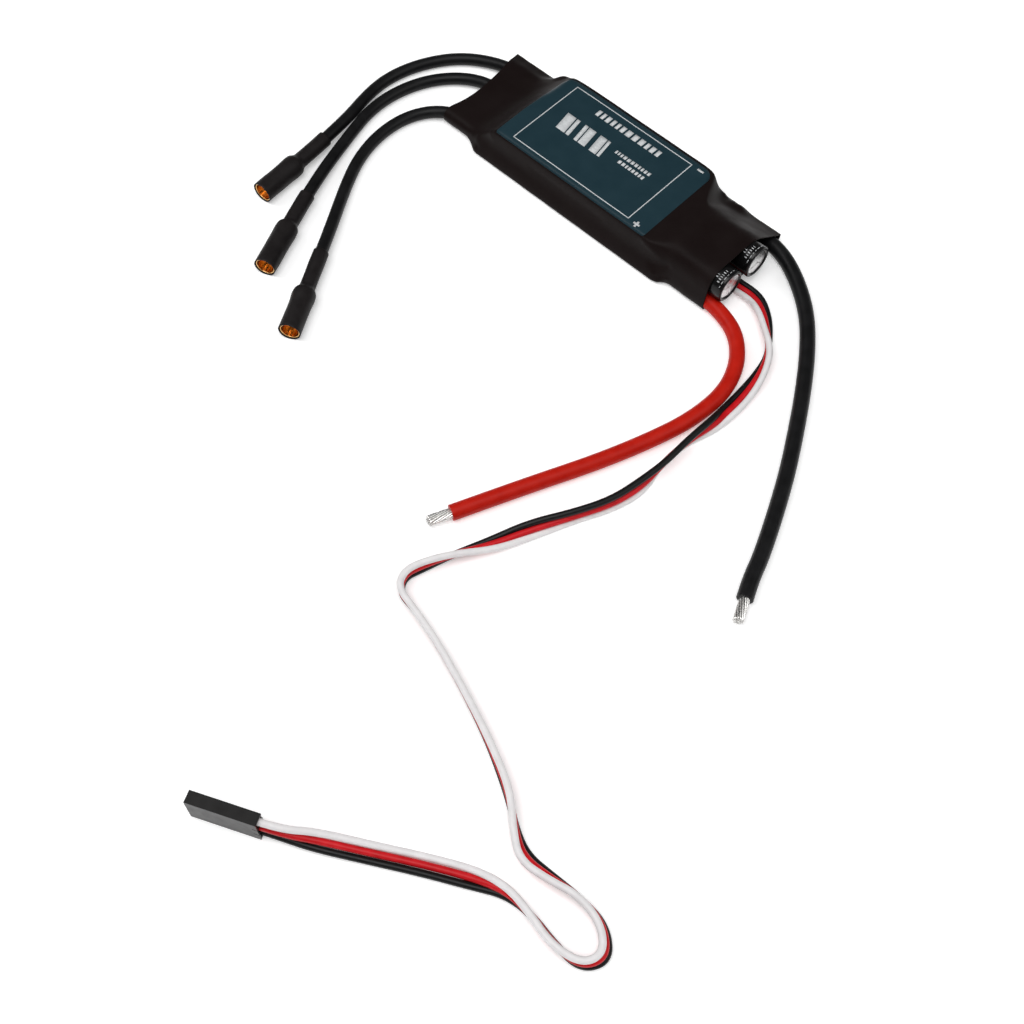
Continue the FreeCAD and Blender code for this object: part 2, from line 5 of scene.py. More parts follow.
import bmesh
import bpy
from mathutils import Matrix, Vector, noise
from mathutils.bvhtree import BVHTree


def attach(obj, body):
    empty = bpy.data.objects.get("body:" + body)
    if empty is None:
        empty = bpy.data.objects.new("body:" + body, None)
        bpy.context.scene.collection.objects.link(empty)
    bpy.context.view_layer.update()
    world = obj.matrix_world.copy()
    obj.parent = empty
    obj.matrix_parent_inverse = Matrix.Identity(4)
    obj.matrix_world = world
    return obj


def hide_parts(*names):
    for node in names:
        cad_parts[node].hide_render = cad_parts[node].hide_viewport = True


# The looks of an electronic speed controller: a flat body in shrunk sleeve with its free leads.
# Everything is in metres in the part's frame: +X to the battery end, +Z out of the label.

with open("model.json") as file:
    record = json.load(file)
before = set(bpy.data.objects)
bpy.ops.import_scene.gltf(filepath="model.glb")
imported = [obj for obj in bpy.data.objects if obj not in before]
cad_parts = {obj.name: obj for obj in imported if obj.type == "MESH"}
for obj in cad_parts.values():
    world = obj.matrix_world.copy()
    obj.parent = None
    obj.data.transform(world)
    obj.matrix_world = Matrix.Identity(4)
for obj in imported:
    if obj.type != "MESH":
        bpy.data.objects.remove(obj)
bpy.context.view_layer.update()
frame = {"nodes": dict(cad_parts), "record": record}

MM = 0.001
PHASES = ["a", "b", "c"]
POLES = ["positive", "negative"]
COLOURS = {"black": -1, "red": 0, "white": 1}     # place in the servo ribbon

SKIN = 0.25 * MM                  # wall of the shrunk sleeve
BATTERY_DIAMETER = 3.5 * MM
MOTOR_DIAMETER = 2.9 * MM
SERVO_DIAMETER = 1.44 * MM
SERVO_PITCH = 1.5 * MM
SERVO_LAY = 0.74 * MM             # height of a wire that lies on the surface
STRAND_TIP = 5.3 * MM             # stripped length of a battery lead

CAN_RADIUS = 3.75 * MM
CAN_END = 42.45 * MM
CAN_LENGTH = 11.5 * MM
CAN_HEIGHT = 6.25 * MM
CAN_ROWS = {1: -8.1 * MM, 2: 1.25 * MM}
CAN_EDGE = CAN_RADIUS - 0.35 * MM  # radius of the can's flat end
CAN_SIDES = 120

SOCKET_RADIUS = 2.3 * MM
SOCKET_BORE = 2.0 * MM
SOCKET_LENGTH = 11.0 * MM
SOCKET_DEPTH = 9.0 * MM
SOCKET_INSET = 0.2 * MM           # from the heat shrink's mouth to the socket's rim
JOINT_SKIN = 0.25 * MM
JOINT_HEIGHT = SOCKET_RADIUS + JOINT_SKIN
# Heat shrink of each connector: where its wide stretch ends, its whole length and its bulge.
JOINT_BARRELS = {"a": (11.2 * MM, 21.6 * MM, 0.10 * MM), "b": (12.3 * MM, 22.6 * MM, 0.09 * MM),
                 "c": (11.1 * MM, 22.8 * MM, 0.13 * MM)}

PLUG_LENGTH, PLUG_THICK, PLUG_HEIGHT = 14.0 * MM, 2.54 * MM, 7.65 * MM
PLUG_PITCH = 2.54 * MM
PLUG_PLACE = Vector((0.0463, -0.1656, 0.0))
PLUG_YAW = math.radians(25.2)


# ---------------------------------------------------------------- camera

CAMERA_TARGET = Vector((0.04491, -0.07955, 0.0))
CAMERA_AZIMUTH = math.radians(43.74)
CAMERA_ELEVATION = math.radians(60.2)
CAMERA_DISTANCE = 0.3086
CAMERA_LENS = 53.0


def make_camera():
    back = Vector((math.sin(CAMERA_AZIMUTH) * math.cos(CAMERA_ELEVATION),
                   -math.cos(CAMERA_AZIMUTH) * math.cos(CAMERA_ELEVATION),
                   math.sin(CAMERA_ELEVATION)))
    data = bpy.data.cameras.new("camera")
    data.lens = CAMERA_LENS
    data.clip_start = 0.01
    camera = bpy.data.objects.new("camera", data)
    camera.location = CAMERA_TARGET + back * CAMERA_DISTANCE
    camera.rotation_euler = (-back).to_track_quat("-Z", "Y").to_euler()
    bpy.context.scene.collection.objects.link(camera)
    bpy.context.scene.camera = camera


# ---------------------------------------------------------------- materials

RELIEF = 0.16                     # strength of the grain's bump in every material


def tone(value):
    return (*value, 1.0)


def shaded(name, dark, light, rough, patch, grain, bump, **sockets):
    """A material whose colour and roughness drift over patches and whose surface has a grain.

    patch and grain are the sizes of the two patterns in metres, bump the depth of the grain."""
    made = bpy.data.materials.new(name)
    made.use_nodes = True
    nodes, links = made.node_tree.nodes, made.node_tree.links
    shader = nodes["Principled BSDF"]
    place = nodes.new("ShaderNodeTexCoord")
    drift = nodes.new("ShaderNodeTexNoise")
    drift.inputs["Scale"].default_value = 1.0 / patch
    drift.inputs["Detail"].default_value = 5.0
    links.new(place.outputs["Object"], drift.inputs["Vector"])
    ramp = nodes.new("ShaderNodeValToRGB")
    ramp.color_ramp.elements[0].position = 0.32
    ramp.color_ramp.elements[1].position = 0.68
    ramp.color_ramp.elements[0].color = tone(dark)
    ramp.color_ramp.elements[1].color = tone(light)
    links.new(drift.outputs["Fac"], ramp.inputs["Fac"])
    links.new(ramp.outputs["Color"], shader.inputs["Base Color"])
    spread = nodes.new("ShaderNodeMapRange")
    spread.inputs["From Min"].default_value = 0.3
    spread.inputs["From Max"].default_value = 0.7
    spread.inputs["To Min"].default_value = rough[0]
    spread.inputs["To Max"].default_value = rough[1]
    links.new(drift.outputs["Fac"], spread.inputs["Value"])
    links.new(spread.outputs["Result"], shader.inputs["Roughness"])
    fine = nodes.new("ShaderNodeTexNoise")
    fine.inputs["Scale"].default_value = 1.0 / grain
    fine.inputs["Detail"].default_value = 3.0
    links.new(place.outputs["Object"], fine.inputs["Vector"])
    relief = nodes.new("ShaderNodeBump")
    relief.inputs["Strength"].default_value = RELIEF
    relief.inputs["Distance"].default_value = bump
    links.new(fine.outputs["Fac"], relief.inputs["Height"])
    links.new(relief.outputs["Normal"], shader.inputs["Normal"])
    for socket, value in sockets.items():
        shader.inputs[socket.replace("_", " ")].default_value = value
    return made


def make_materials():
    """One material for each of the record's slots, by the slot's name."""
    metal = {"Metallic": 1.0}
    made = {
        "shrink_skin": shaded("shrink_skin", (0.0086, 0.0054, 0.0052), (0.0112, 0.0076, 0.0073),
                              (0.40, 0.50), 6 * MM, 0.35 * MM, 0.010 * MM,
                              Specular_IOR_Level=0.05),
        "label_film": shaded("label_film", (0.0120, 0.0320, 0.0425), (0.0145, 0.0365, 0.0480),
                             (0.34, 0.42), 5 * MM, 0.25 * MM, 0.005 * MM,
                             Specular_IOR_Level=0.12),
        "red_silicone": shaded("red_silicone", (0.45, 0.0085, 0.0030), (0.52, 0.0130, 0.0050),
                               (0.38, 0.50), 3 * MM, 0.2 * MM, 0.008 * MM,
                               Specular_IOR_Level=0.14),
        "black_silicone": shaded("black_silicone", (0.0050, 0.0050, 0.0054),
                                 (0.0080, 0.0080, 0.0086), (0.36, 0.48), 3 * MM, 0.2 * MM,
                                 0.008 * MM, Specular_IOR_Level=0.16),
        "connector_shrink": shaded("connector_shrink", (0.0095, 0.0078, 0.0080),
                                   (0.0132, 0.0112, 0.0114), (0.44, 0.58), 2 * MM, 0.2 * MM,
                                   0.012 * MM, Specular_IOR_Level=0.14),
        "servo_white_pvc": shaded("servo_white_pvc", (0.76, 0.74, 0.745), (0.83, 0.81, 0.815),
                                  (0.36, 0.48), 2 * MM, 0.15 * MM, 0.006 * MM,
                                  Specular_IOR_Level=0.3),
        "servo_red_pvc": shaded("servo_red_pvc", (0.50, 0.006, 0.010), (0.60, 0.011, 0.017),
                                (0.34, 0.46), 2 * MM, 0.15 * MM, 0.006 * MM,
                                Specular_IOR_Level=0.2),
        "servo_black_pvc": shaded("servo_black_pvc", (0.0050, 0.0050, 0.0052),
                                  (0.0080, 0.0080, 0.0084), (0.32, 0.44), 2 * MM, 0.15 * MM,
                                  0.006 * MM, Specular_IOR_Level=0.2),
        "plug_moulding": shaded("plug_moulding", (0.0068, 0.0062, 0.0060),
                                (0.0100, 0.0092, 0.0090), (0.30, 0.38), 2 * MM, 0.12 * MM,
                                0.006 * MM, Specular_IOR_Level=0.2),
        "can_print": shaded("can_print", (0.0040, 0.0040, 0.0042), (0.0065, 0.0065, 0.0068),
                            (0.18, 0.28), 2 * MM, 0.3 * MM, 0.004 * MM,
                            Specular_IOR_Level=0.25),
        "can_aluminium": shaded("can_aluminium", (0.58, 0.57, 0.57), (0.78, 0.77, 0.77),
                                (0.24, 0.38), 0.9 * MM, 0.08 * MM, 0.010 * MM, **metal),
        "gold_plate": shaded("gold_plate", (0.64, 0.35, 0.12), (0.84, 0.55, 0.24),
                             (0.14, 0.24), 0.8 * MM, 0.1 * MM, 0.004 * MM, **metal),
        "tinned_strands": shaded("tinned_strands", (0.66, 0.65, 0.63), (0.90, 0.89, 0.87),
                                 (0.20, 0.38), 0.4 * MM, 0.08 * MM, 0.010 * MM, **metal),
        "contact_plate": shaded("contact_plate", (0.62, 0.45, 0.20), (0.84, 0.66, 0.34),
                                (0.26, 0.40), 0.6 * MM, 0.1 * MM, 0.006 * MM, **metal),
        "plate_aluminium": shaded("plate_aluminium", (0.62, 0.63, 0.65), (0.76, 0.77, 0.79),
                                  (0.32, 0.46), 1.5 * MM, 0.1 * MM, 0.010 * MM, **metal),
        "copper": shaded("copper", (0.68, 0.30, 0.16), (0.86, 0.44, 0.27), (0.28, 0.42),
                         1.0 * MM, 0.1 * MM, 0.008 * MM, **metal),
        "tinned_pins": shaded("tinned_pins", (0.66, 0.66, 0.67), (0.82, 0.82, 0.83),
                              (0.22, 0.36), 0.8 * MM, 0.1 * MM, 0.006 * MM, **metal),
        "resonator_steel": shaded("resonator_steel", (0.58, 0.57, 0.54), (0.74, 0.73, 0.70),
                                  (0.24, 0.36), 0.8 * MM, 0.1 * MM, 0.006 * MM, **metal),
        "solder": shaded("solder", (0.60, 0.60, 0.61), (0.80, 0.80, 0.81), (0.20, 0.40),
                         0.6 * MM, 0.2 * MM, 0.020 * MM, **metal),
        "gap_pad": shaded("gap_pad", (0.36, 0.44, 0.52), (0.46, 0.54, 0.62), (0.55, 0.70),
                          1.5 * MM, 0.2 * MM, 0.015 * MM),
        "board_laminate": shaded("board_laminate", (0.010, 0.075, 0.030), (0.020, 0.110, 0.048),
                                 (0.30, 0.44), 1.2 * MM, 0.2 * MM, 0.010 * MM),
        "chip_epoxy": shaded("chip_epoxy", (0.014, 0.014, 0.015), (0.024, 0.024, 0.026),
                             (0.46, 0.60), 1.0 * MM, 0.1 * MM, 0.010 * MM),
        "chip_ceramic": shaded("chip_ceramic", (0.36, 0.29, 0.20), (0.46, 0.38, 0.27),
                               (0.40, 0.55), 0.6 * MM, 0.1 * MM, 0.006 * MM),
        "bung_rubber": shaded("bung_rubber", (0.022, 0.022, 0.022), (0.036, 0.036, 0.036),
                              (0.55, 0.70), 0.8 * MM, 0.1 * MM, 0.010 * MM),
        "winding_paper": shaded("winding_paper", (0.50, 0.45, 0.36), (0.64, 0.59, 0.49),
                                (0.60, 0.75), 0.5 * MM, 0.1 * MM, 0.010 * MM),
    }
    made["print_ink"] = shaded("print_ink", (0.56, 0.58, 0.59), (0.68, 0.70, 0.71),
                               (0.40, 0.50), 0.5 * MM, 0.1 * MM, 0.003 * MM)
    made["floor"] = shaded("floor", (0.90, 0.90, 0.90), (0.92, 0.92, 0.92), (0.6, 0.7),
                           60 * MM, 2 * MM, 0.01 * MM, Emission_Color=(1.0, 1.0, 1.0, 1.0),
                           Emission_Strength=0.30, Specular_IOR_Level=0.1)
    return made


def dress(piece, slot, material=None):
    """Gives a new piece its body and the material of its slot."""
    piece.data.materials.clear()
    piece.data.materials.append(MATERIALS[material or slot])
    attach(piece, "root")
    return piece


def dress_cad_nodes():
    for row in frame["record"]["subparts"]:
        piece = frame["nodes"][row["node"]]
        piece.data.materials.clear()
        piece.data.materials.append(MATERIALS[row["material_slot"]])


# ---------------------------------------------------------------- mesh helpers

def mesh_piece(name, points, faces, smooth=True):
    data = bpy.data.meshes.new(name)
    data.from_pydata([tuple(point) for point in points], [], faces)
    data.update()
    for polygon in data.polygons:
        polygon.use_smooth = smooth
    piece = bpy.data.objects.new(name, data)
    bpy.context.scene.collection.objects.link(piece)
    return piece


def modifier(piece, kind, **settings):
    added = piece.modifiers.new(kind.lower(), kind)
    for name, value in settings.items():
        setattr(added, name, value)


def apply_modifiers(piece):
    """Bakes a piece's modifiers into its mesh."""
    bpy.context.view_layer.update()
    evaluated = piece.evaluated_get(bpy.context.evaluated_depsgraph_get())
    finished = bpy.data.meshes.new_from_object(evaluated)
    piece.modifiers.clear()
    piece.data = finished


def ring_faces(rings, count):
    """Quads between rings of count points each, numbered ring after ring."""
    faces = []
    for ring in range(rings - 1):
        for index in range(count):
            after = (index + 1) % count
            faces.append((ring * count + index, ring * count + after,
                          (ring + 1) * count + after, (ring + 1) * count + index))
    return faces


def closed_faces(rings, count):
    """The same, with the last ring also joined to the first."""
    last = (rings - 1) * count
    return ring_faces(rings, count) + [(last + index, last + (index + 1) % count,
                                        (index + 1) % count, index) for index in range(count)]


def circle(centre, side_axis, up_axis, reach, turn):
    """The point at that turn, in radians, of a circle across two axes."""
    return centre + side_axis * (reach * math.cos(turn)) + up_axis * (reach * math.sin(turn))


def turned(name, profile, place, sides=96, wobble=0.0):
    """A turned piece: profile is a closed list of (distance along the local X axis, radius)."""
    points = []
    for index, (along, radius) in enumerate(profile):
        for side in range(sides):
            angle = 2 * math.pi * side / sides
            push = wobble * noise.noise(Vector((along * 400, math.cos(angle) * 2,
                                                math.sin(angle) * 2)))
            reach = max(radius + push * (radius > 0), 0.0)
            points.append(place @ Vector((along, reach * math.cos(angle),
                                          reach * math.sin(angle))))
    piece = mesh_piece(name, points, closed_faces(len(profile), sides))
    tidy_mesh(piece)
    return piece


def tidy_mesh(piece):
    """Welds doubled points and turns every face outwards."""
    work = bmesh.new()
    work.from_mesh(piece.data)
    bmesh.ops.remove_doubles(work, verts=work.verts, dist=1e-7)
    bmesh.ops.dissolve_degenerate(work, edges=work.edges, dist=1e-8)
    bmesh.ops.recalc_face_normals(work, faces=work.faces)
    work.to_mesh(piece.data)
    work.free()


def tube(line, radius, taper, sides=8):
    """Points and faces of a closed tube along a line; its last ring is taper times as wide."""
    points = []
    rings = len(line)
    side_axis = None
    for index, centre in enumerate(line):
        before = line[max(index - 1, 0)]
        after = line[min(index + 1, rings - 1)]
        heading = (after - before).normalized()
        if side_axis is None:
            side_axis = heading.orthogonal().normalized()
        side_axis = (side_axis - heading * side_axis.dot(heading)).normalized()
        up_axis = heading.cross(side_axis)
        reach = radius * (taper if index == rings - 1 else 1.0)
        points += [circle(centre, side_axis, up_axis, reach, 2 * math.pi * side / sides)
                   for side in range(sides)]
    caps = [tuple(reversed(range(sides))), tuple(range((rings - 1) * sides, rings * sides))]
    return points, ring_faces(rings, sides) + caps


def joined(name, parts):
    """One mesh piece from several (points, faces) pairs."""
    all_points, all_faces = [], []
    for points, faces in parts:
        start = len(all_points)
        all_points += points
        all_faces += [tuple(start + number for number in face) for face in faces]
    return mesh_piece(name, all_points, all_faces)


# ---------------------------------------------------------------- cords

# Control points of the free leads, from the solder joints inside the sleeve outwards.
BATTERY_ROUTES = {
    "positive": [(0.0305, -0.0113, 0.0020), (0.0370, -0.0114, 0.0020), (0.0435, -0.0118, 0.00175),
                 (0.0500, -0.0142, 0.00175), (0.0552, -0.0198, 0.00175),
                 (0.0579, -0.0274, 0.00175), (0.0577, -0.0356, 0.00175),
                 (0.0559, -0.0438, 0.00175), (0.0507, -0.0582, 0.00175),
                 (0.0434, -0.0739, 0.00175), (0.0368, -0.0890, 0.00175)],
    "negative": [(0.0305, 0.0110, 0.0021), (0.0372, 0.0111, 0.0021), (0.0440, 0.0102, 0.00175),
                 (0.0514, 0.0060, 0.00175), (0.0582, 0.0004, 0.00175),
                 (0.0643, -0.0072, 0.00175), (0.0700, -0.0160, 0.00175),
                 (0.0752, -0.0250, 0.00175), (0.0802, -0.0342, 0.00175),
                 (0.0846, -0.0436, 0.00175), (0.0887, -0.0532, 0.00175),
                 (0.0905, -0.0588, 0.00175), (0.0924, -0.0629, 0.00175)],
}
MOTOR_ROUTES = {
    "a": [(-0.0305, 0.0095, 0.0024), (-0.0375, 0.0099, 0.0023), (-0.0452, 0.0088, 0.0016),
          (-0.0526, 0.0042, 0.00145), (-0.0575, -0.0028, 0.00145), (-0.0602, -0.0104, 0.00145),
          (-0.0606, -0.0184, 0.00145)],
    "b": [(-0.0305, 0.0020, 0.0024), (-0.0375, 0.0025, 0.0023), (-0.0454, 0.0012, 0.0016),
          (-0.0520, -0.0050, 0.00145), (-0.0556, -0.0136, 0.00145), (-0.0562, -0.0228, 0.00145),
          (-0.0538, -0.0322, 0.00145)],
    "c": [(-0.0305, -0.0094, 0.0024), (-0.0373, -0.0096, 0.0023), (-0.0442, -0.0122, 0.0016),
          (-0.0482, -0.0188, 0.00145), (-0.0488, -0.0272, 0.00145), (-0.0469, -0.0356, 0.00145),
          (-0.0429, -0.0436, 0.00145)],
}
MOTOR_MOUTHS = {"a": (-0.0544, -0.0592, -85.5), "b": (-0.0376, -0.0733, -66.9),
                "c": (-0.0203, -0.0815, -60.4)}
PLUG_SPREAD = 1.15 * SERVO_PITCH  # the ribbon's pitch in its last row, where it fans out
PLUG_RUN = 4 * MM                 # straight run of a servo wire before the plug
PLUG_GRIP = 3 * MM                # length of a servo wire inside the plug
JOINT_LEAD = 0.0266               # from the mouth back to the last bend of a motor wire
SOCKET_BACK = 0.0112              # from the mouth back to the end of the wire

# Middle wire of the servo ribbon: x, y, lift above the surface, and the roll of the ribbon in
# degrees (0 flat with white to the left of the way it runs, 90 on edge with white on top).
RIBBON = [
    (0.0254, -0.0034, 0.00095, 180), (0.0330, -0.0032, 0.0006, 180),
    (0.0404, -0.0035, 0.0003, 174), (0.0464, -0.0029, 0, 170), (0.0510, -0.0057, 0, 144),
    (0.0548, -0.0094, 0, 121), (0.0586, -0.0135, 0, 83), (0.0605, -0.0187, 0, 49),
    (0.0614, -0.0244, 0, 22), (0.0616, -0.0302, 0, 15), (0.0617, -0.0362, 0, -65),
    (0.0604, -0.0428, 0, -105), (0.0603, -0.0504, 0, -116), (0.0608, -0.0576, 0, -64),
    (0.0593, -0.0649, 0, -76), (0.0557, -0.0723, 0, -83), (0.0512, -0.0806, 0, -38),
    (0.0477, -0.0885, 0, 20), (0.0440, -0.0955, 0, 65), (0.0413, -0.1018, 0, 92),
    (0.0402, -0.1056, 0, 86), (0.0420, -0.1087, 0, 94), (0.0469, -0.1094, 0, 104),
    (0.0553, -0.1114, 0, 99), (0.0657, -0.1148, 0, 98), (0.0761, -0.1187, 0, 92),
    (0.0864, -0.1236, 0, 81), (0.0922, -0.1282, 0, 105), (0.0967, -0.1306, 0, 135),
    (0.1025, -0.1300, 0, 123), (0.1090, -0.1289, 0, 99), (0.1152, -0.1297, 0, 113),
    (0.1193, -0.1334, 0, 118), (0.1172, -0.1377, 0, 96), (0.1110, -0.1383, 0, 70),
    (0.1044, -0.1371, 0, 78), (0.0986, -0.1371, 0, 104), (0.0926, -0.1393, 0, 164),
    (0.0844, -0.1437, 0, 174), (0.0758, -0.1491, 0, 148), (0.0674, -0.1544, 0.0006, 133),
]


def make_cord(name, route, diameter):
    """A curve of one NURBS spline with the route's points as its control points."""
    data = bpy.data.curves.new(name, "CURVE")
    data.dimensions = "3D"
    spline = data.splines.new("NURBS")
    spline.points.add(len(route) - 1)
    for point, place in zip(spline.points, route):
        point.co = (*place, 1.0)
    spline.order_u = 3
    spline.use_endpoint_u = True
    spline.resolution_u = 10
    data.bevel_depth = diameter / 2
    data.bevel_resolution = 6
    data.use_fill_caps = True
    piece = bpy.data.objects.new(name, data)
    bpy.context.scene.collection.objects.link(piece)
    return piece


def cord_line(piece):
    """Points along a cord's own spline, from its first end to its last."""
    data = piece.data.copy()
    data.bevel_depth = 0.0
    bare = bpy.data.objects.new("bare_line", data)
    bpy.context.scene.collection.objects.link(bare)
    bpy.context.view_layer.update()
    mesh = bpy.data.meshes.new_from_object(
        bare.evaluated_get(bpy.context.evaluated_depsgraph_get()))
    line = [vertex.co.copy() for vertex in mesh.vertices]
    bpy.data.objects.remove(bare)
    return line


def from_end(line, distance):
    """The point of a line at a distance back from its last point."""
    left = distance
    for after, before in zip(reversed(line), reversed(line[:-1])):
        step = (after - before).length
        if left <= step:
            return after.lerp(before, left / step)
        left -= step
    return line[0]


def mouth_frame(phase):
    """Frame of a motor connector: its X axis runs from the mouth back along the connector."""
    x, y, yaw = MOTOR_MOUTHS[phase]
    return (Matrix.Translation((x, y, JOINT_HEIGHT))
            @ Matrix.Rotation(math.radians(yaw + 180), 4, "Z"))


def motor_route(phase):
    back = mouth_frame(phase)
    return MOTOR_ROUTES[phase] + [tuple(back @ Vector((JOINT_LEAD, 0, 0))),
                                  tuple(back @ Vector((SOCKET_BACK, 0, 0)))]


def plug_frame():
    return Matrix.Translation(PLUG_PLACE) @ Matrix.Rotation(PLUG_YAW, 4, "Z")


def cell_height(side):
    return PLUG_HEIGHT / 2 + side * PLUG_PITCH


def ribbon_lane(side):
    """Route of one wire of the servo ribbon, from the ribbon's middle line and roll."""
    lane = []
    last = len(RIBBON) - 1
    for index, (x, y, lift, roll) in enumerate(RIBBON):
        before = RIBBON[max(index - 1, 0)]
        after = RIBBON[min(index + 1, last)]
        heading = Vector((after[0] - before[0], after[1] - before[1], 0)).normalized()
        left = Vector((-heading.y, heading.x, 0))
        spread = SERVO_PITCH if index < last else PLUG_SPREAD
        angle = math.radians(roll)
        rise = spread * abs(math.sin(angle)) + SERVO_LAY + lift
        shift = left * math.cos(angle) + Vector((0, 0, 1)) * math.sin(angle)
        lane.append(tuple(Vector((x, y, rise)) + shift * (side * spread)))
    for reach in (PLUG_LENGTH + PLUG_RUN, PLUG_LENGTH - PLUG_GRIP):
        lane.append(tuple(plug_frame() @ Vector((reach, 0, cell_height(side)))))
    return lane


def make_cords():
    made = {}
    for pole in POLES:
        made["battery_" + pole] = make_cord("battery_lead_" + pole, BATTERY_ROUTES[pole],
                                            BATTERY_DIAMETER)
    for phase in PHASES:
        made["motor_" + phase] = make_cord("motor_lead_" + phase, motor_route(phase),
                                           MOTOR_DIAMETER)
    for colour, side in COLOURS.items():
        made["servo_" + colour] = make_cord("servo_lead_" + colour, ribbon_lane(side),
                                            SERVO_DIAMETER)
    return made


def dress_cords():
    slots = {"positive": "red_silicone", "negative": "black_silicone"}
    for pole in POLES:
        piece = dress(CORDS["battery_" + pole], slots[pole])
        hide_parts("battery_wire_" + pole)
    for phase in PHASES:
        piece = dress(CORDS["motor_" + phase], "black_silicone")
        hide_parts("motor_wire_" + phase)
    for colour in COLOURS:
        piece = dress(CORDS["servo_" + colour], "servo_%s_pvc" % colour)
        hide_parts("servo_wire_" + colour)


# ---------------------------------------------------------------- shrunk sleeve

# Outlines of the sleeve in millimetres (y, z), from the near foot up the near side, over the
# top and down the far side: over the heatsink, at the motor mouth and at the battery mouth.
CROWN = [(-7.0, 0.02), (-14.3, 0.02), (-15.0, 0.3), (-15.15, 1.2), (-14.2, 3.4), (-13.5, 4.8),
         (-13.35, 7.4), (-13.2, 9.2), (-12.7, 9.6), (-6.5, 9.55), (0.0, 9.55), (6.5, 9.55),
         (12.45, 9.5), (13.0, 9.1), (13.2, 7.4), (13.45, 4.8), (14.0, 3.4), (14.7, 1.5),
         (14.7, 0.35), (14.0, 0.02), (7.0, 0.02)]
MOTOR_END = [(-6.5, 0.02), (-11.7, 0.05), (-12.6, 0.4), (-13.0, 1.2), (-13.1, 2.0),
             (-12.95, 2.8), (-12.5, 3.4), (-11.8, 3.85), (-10.7, 4.0), (-6.4, 3.6), (-1.6, 3.85),
             (4.6, 3.8), (8.6, 4.0), (10.4, 3.85), (11.7, 3.3), (13.1, 2.75), (14.1, 2.45),
             (14.4, 2.15), (13.9, 1.8), (12.0, 0.7), (6.5, 0.02)]
BATTERY_END = [(-6.0, 0.02), (-12.1, 0.02), (-13.2, 0.3), (-13.6, 1.6), (-13.4, 3.4),
               (-12.95, 5.2), (-12.6, 7.2), (-11.6, 9.2), (-9.9, 10.3), (-7.3, 10.55),
               (-3.4, 10.45), (1.2, 10.55), (4.0, 9.8), (7.2, 7.3), (10.4, 5.0), (12.5, 3.6),
               (13.7, 3.05), (13.8, 2.5), (13.4, 1.0), (12.4, 0.05), (6.0, 0.02)]
# Where each point of the outline starts and ends its way to the end outlines, in millimetres.
TO_BATTERY = ([(26.4, 29.6)] * 4 + [(24.5, 29.6), (23.5, 29.4)] + [(22.5, 29.2)] * 2
              + [(21.6, 28.5)] * 4 + [(19.8, 25.6)] * 3 + [(21.5, 26.0)] * 6)
TO_MOTOR = ([(-29.6, -34.4)] * 4 + [(-28.8, -34.2), (-27.0, -34.0)] + [(-24.4, -34.0)] * 5
            + [(-22.6, -33.6)] * 3 + [(-26.5, -33.0)] * 7)
STATIONS = [-42.8, -42.0, -40.6, -38.6, -36.8, -35.2, -33.8, -32.4, -31.0, -29.6, -28.2, -26.8,
            -25.6, -24.8, -24.2, -23.6, -21.0, -15.0, -7.5, 0.0, 7.5, 14.0, 18.5, 20.6, 21.6,
            22.6, 24.0, 25.4, 26.6, 27.6, 28.6, 29.8, 31.4, 34.0, 36.8, 38.6, 39.4, 39.9]
MOTOR_STRETCH = -34.0             # where the motor end starts to follow its slanted mouth
MOUTH_PLACE, MOUTH_SIDE = -40.1, -3.0   # the innermost point of that mouth, in millimetres
FAR_BEND, NEAR_BEND, NEAR_MOST = 0.0092, 0.03, 1.2   # how its two sides curve outwards
# Folds of the skin: from, to, half width and height, in millimetres.
FOLDS = [
    ((22.0, -13.0, 8.6), (26.4, -13.6, 7.0), 1.1, 0.28),
    ((24.8, -14.2, 4.4), (28.6, -13.4, 5.6), 0.9, -0.30),
    ((26.0, -15.0, 2.4), (28.2, -14.2, 3.6), 0.6, 0.25),
    ((27.6, -14.6, 0.9), (29.4, -13.9, 2.4), 0.6, 0.22),
    ((-25.5, -13.2, 7.6), (-29.6, -13.4, 4.4), 1.2, 0.25),
    ((-29.0, -14.9, 2.6), (-32.4, -13.9, 2.2), 0.9, -0.22),
    ((23.5, 12.2, 7.4), (27.0, 13.4, 4.6), 1.1, 0.25),
    ((24.4, 14.5, 2.4), (26.2, 14.3, 2.9), 0.8, 0.35),
    ((26.6, 11.9, 5.4), (28.9, 12.2, 4.2), 1.7, 0.95),
    ((24.0, 12.6, 4.6), (26.8, 12.6, 4.5), 1.0, 0.45),
    ((-25.0, 12.9, 7.4), (-29.5, 13.8, 4.0), 1.2, 0.25),
    ((-12.0, -13.4, 6.4), (9.0, -13.4, 6.0), 1.0, -0.12),
    ((-22.8, 3.0, 9.4), (-22.7, 11.4, 9.3), 1.4, 0.40),
]


def ramp(value, start, end):
    """0 at start, quick at first, and easing to 1 at end."""
    share = min(max((value - start) / (end - start), 0.0), 1.0)
    return math.sin(share * math.pi / 2)


def ease(value, start, end):
    share = min(max((value - start) / (end - start), 0.0), 1.0)
    return share * share * (3 - 2 * share)


def motor_mouth(side):
    """The motor mouth's place along X for a point at that side, in millimetres."""
    away = side - MOUTH_SIDE
    if away > 0:
        return MOUTH_PLACE - FAR_BEND * away ** 2
    return MOUTH_PLACE - min(NEAR_BEND * away ** 2, NEAR_MOST)


